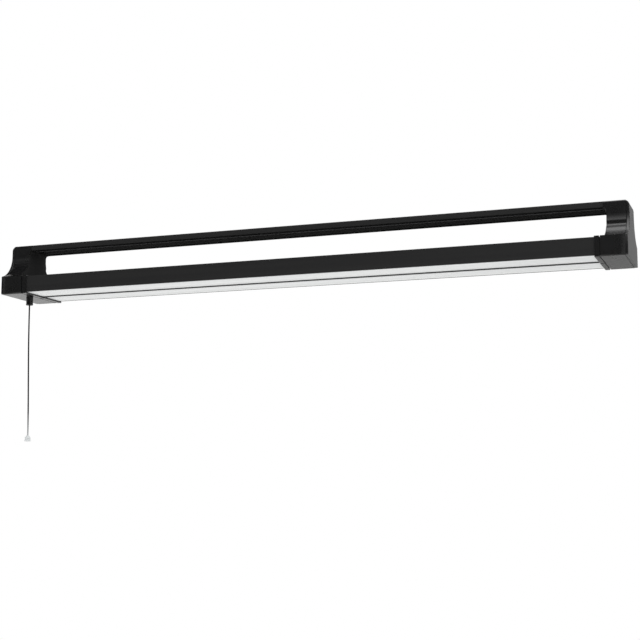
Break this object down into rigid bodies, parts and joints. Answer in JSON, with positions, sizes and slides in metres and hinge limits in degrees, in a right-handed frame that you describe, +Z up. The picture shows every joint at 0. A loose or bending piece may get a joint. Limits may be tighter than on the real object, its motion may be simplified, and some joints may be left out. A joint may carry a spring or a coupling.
{
  "type": "hanging shop light",
  "caption": "Long black hanging work light: two frosted lens strips below, a flat carrying rail above between moulded end caps, and a pull-cord switch at one end.",
  "frame": {"origin": "middle of the rail's top face, midway between the two hanging holes", "axes": "+X along the lamp, towards the end without the pull cord; +Y from the front, where the cord hangs, to the back; +Z up"},
  "size_m": [1.219, 0.135, 0.3904],
  "materials": {
    "rail_metal": "black anodised, satin",
    "cap_plastic": "moulded, satin black",
    "lens_plastic": "frosted opal",
    "tray_paint": "white enamel",
    "board_white": "white solder mask",
    "chip_yellow": "phosphor",
    "zinc_steel": "zinc plated",
    "circuit_green": "solder mask",
    "component_dark": "wound and moulded parts",
    "terminal_ivory": "moulded",
    "contact_brass": "bare",
    "earth_green": "lacquered",
    "inlet_plastic": "moulded",
    "wire_brown": "wire sleeve",
    "wire_blue": "wire sleeve",
    "wire_red": "wire sleeve",
    "switch_dark": "moulded",
    "switch_pale": "moulded",
    "spring_steel": "drawn wire",
    "cord_black": "braided",
    "knob_pale": "moulded, translucent white"
  },
  "bodies": {
    "lamp": {"housing": "rail_metal", "top_rail": "rail_metal", "left_cap": "cap_plastic", "right_cap": "cap_plastic", "left_collar": "cap_plastic", "right_collar": "cap_plastic", "left_end_cover": "cap_plastic", "right_end_cover": "cap_plastic", "front_lens": "lens_plastic", "rear_lens": "lens_plastic", "front_tray": "tray_paint", "rear_tray": "tray_paint", "front_light_board": "board_white", "rear_light_board": "board_white", "front_light_chips": "chip_yellow", "rear_light_chips": "chip_yellow", "board_screws": "zinc_steel", "driver_case": "zinc_steel", "driver_lid": "zinc_steel", "driver_board": "circuit_green", "driver_parts": "component_dark", "driver_screws": "zinc_steel", "terminal_block": "terminal_ivory", "terminal_screws": "contact_brass", "earth_screw": "earth_green", "power_inlet": "inlet_plastic", "inlet_pins": "contact_brass", "mains_wires": "wire_brown", "driver_wires": "wire_blue", "light_wires": "wire_red", "switch_case": "switch_dark", "switch_lid": "switch_dark", "switch_bushing": "cap_plastic", "switch_pivot": "zinc_steel", "switch_contacts": "contact_brass", "return_spring": "spring_steel", "cap_screws": "zinc_steel", "rail_screws": "zinc_steel"},
    "pull": {"cord_bead": "contact_brass", "cord_stub": "cord_black", "pull_cord": "cord_black", "pull_knob": "knob_pale"},
    "arm": {"switch_arm": "switch_pale"},
    "drum": {"switch_drum": "switch_pale", "contact_band": "contact_brass"}
  },
  "joints": [
    {"name": "pull_slide", "type": "slide", "parent": "lamp", "child": "pull", "axis": [0, 0, -1], "range_m": [0, 0.008], "stiffness_N_per_m": 100, "springref_m": -0.003},
    {"name": "arm_hinge", "type": "hinge", "parent": "lamp", "child": "arm", "pos_m": [-0.5865, -0.018, -0.0847], "axis": [0, 1, 0], "range_deg": [0, 37.2]},
    {"name": "drum_hinge", "type": "hinge", "parent": "lamp", "child": "drum", "pos_m": [-0.5865, -0.018, -0.0847], "axis": [0, 1, 0], "range_deg": [0, 90.5]}
  ],
  "couplings": [
    {"joint": "arm_hinge", "follows": "pull_slide", "rad_per_m": 80.7},
    {"joint": "drum_hinge", "follows": "pull_slide", "rad_per_m": 196.3}
  ]
}
